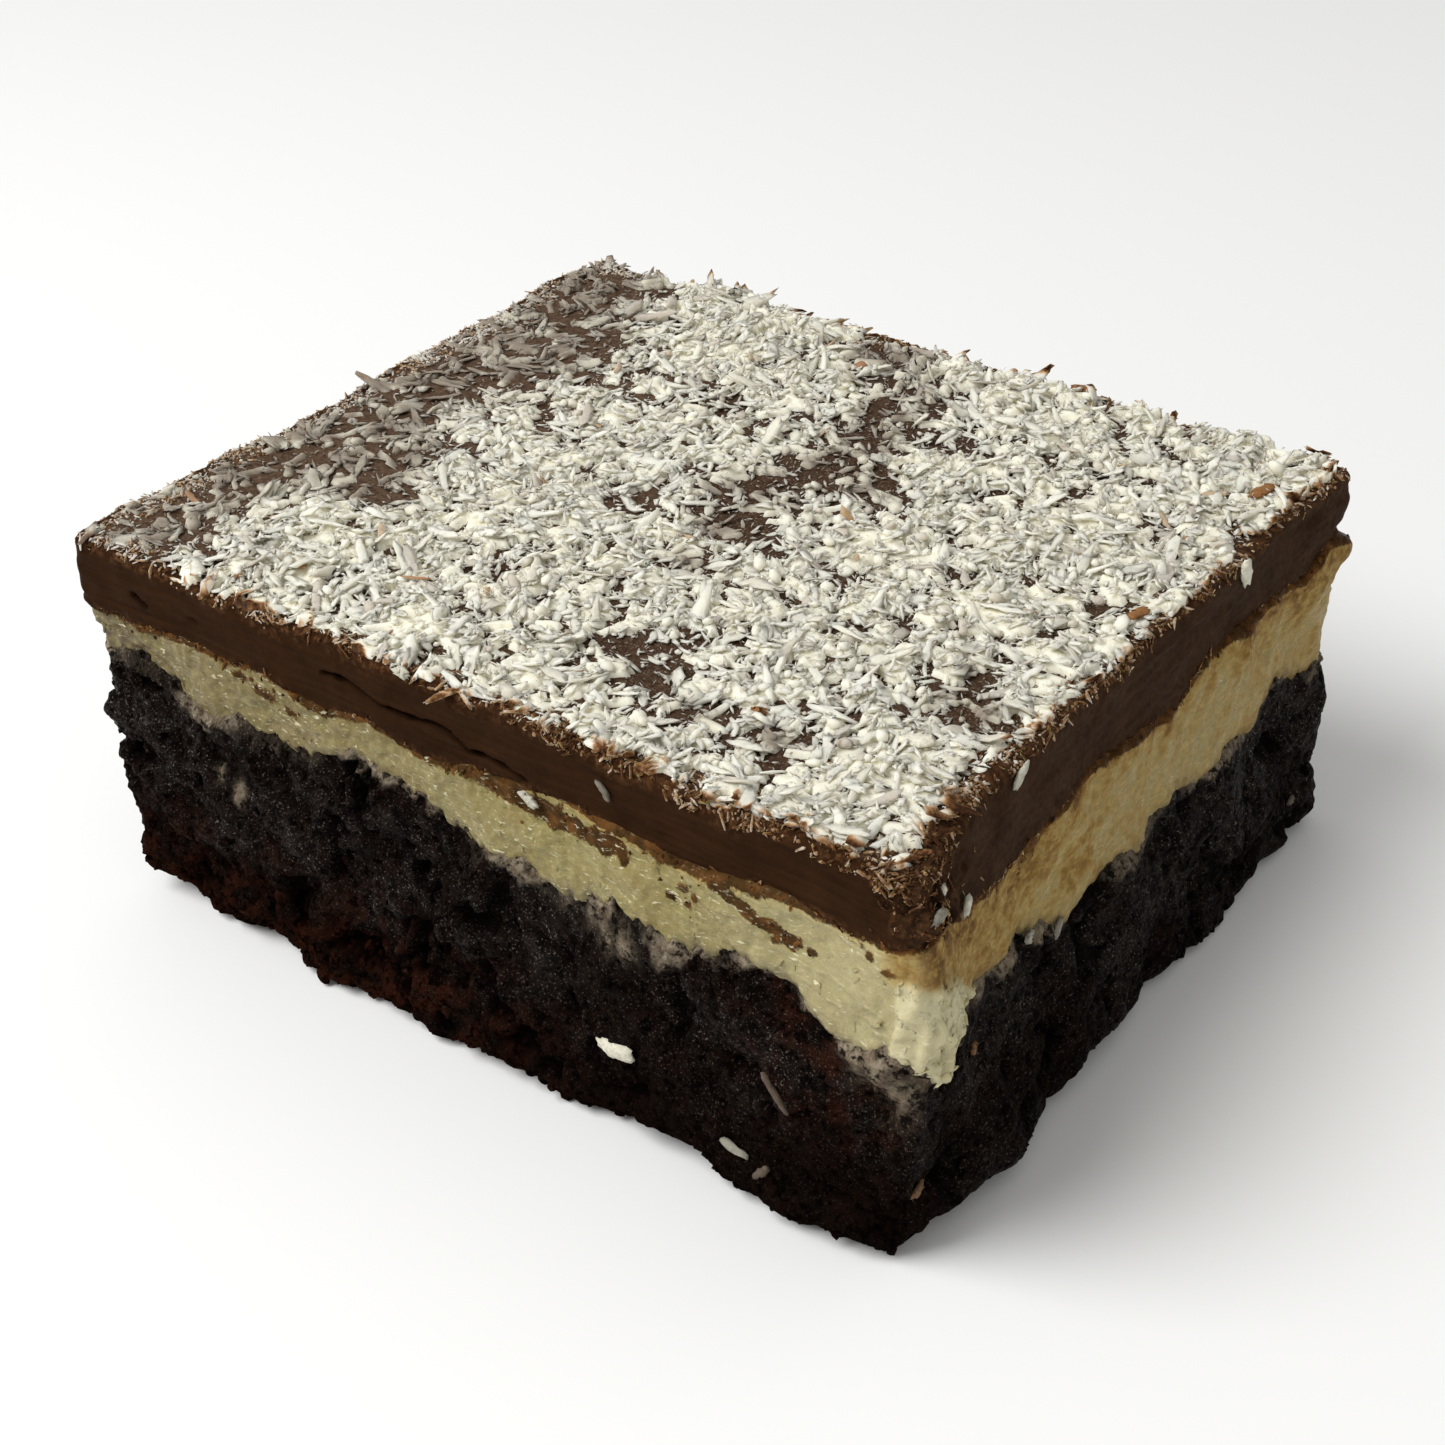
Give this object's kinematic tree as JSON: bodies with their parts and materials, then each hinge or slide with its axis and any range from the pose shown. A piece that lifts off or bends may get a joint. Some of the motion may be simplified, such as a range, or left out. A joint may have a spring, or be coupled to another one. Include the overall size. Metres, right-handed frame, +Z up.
{
  "type": "coconut ganache brownie",
  "caption": "Cut slice of chocolate brownie with a coconut filling and a ganache slab on top, strewn with coconut flakes, for a plate or a cake stand.",
  "frame": {"origin": "middle of the slice's outer box in plan, at the height that it rests on", "axes": "+X along the longer cut side, +Y from the front cut side to the back one, +Z up through the layers"},
  "size_m": [0.0838, 0.0704, 0.037],
  "materials": {
    "brownie": "moist dark chocolate crumb",
    "coconut_filling": "soft, moist and fibrous, pale cream",
    "ganache": "satin dark chocolate"
  },
  "bodies": {
    "root": {"brownie_base": "brownie", "coconut_filling": "coconut_filling", "ganache_slab": "ganache"}
  },
  "joints": []
}
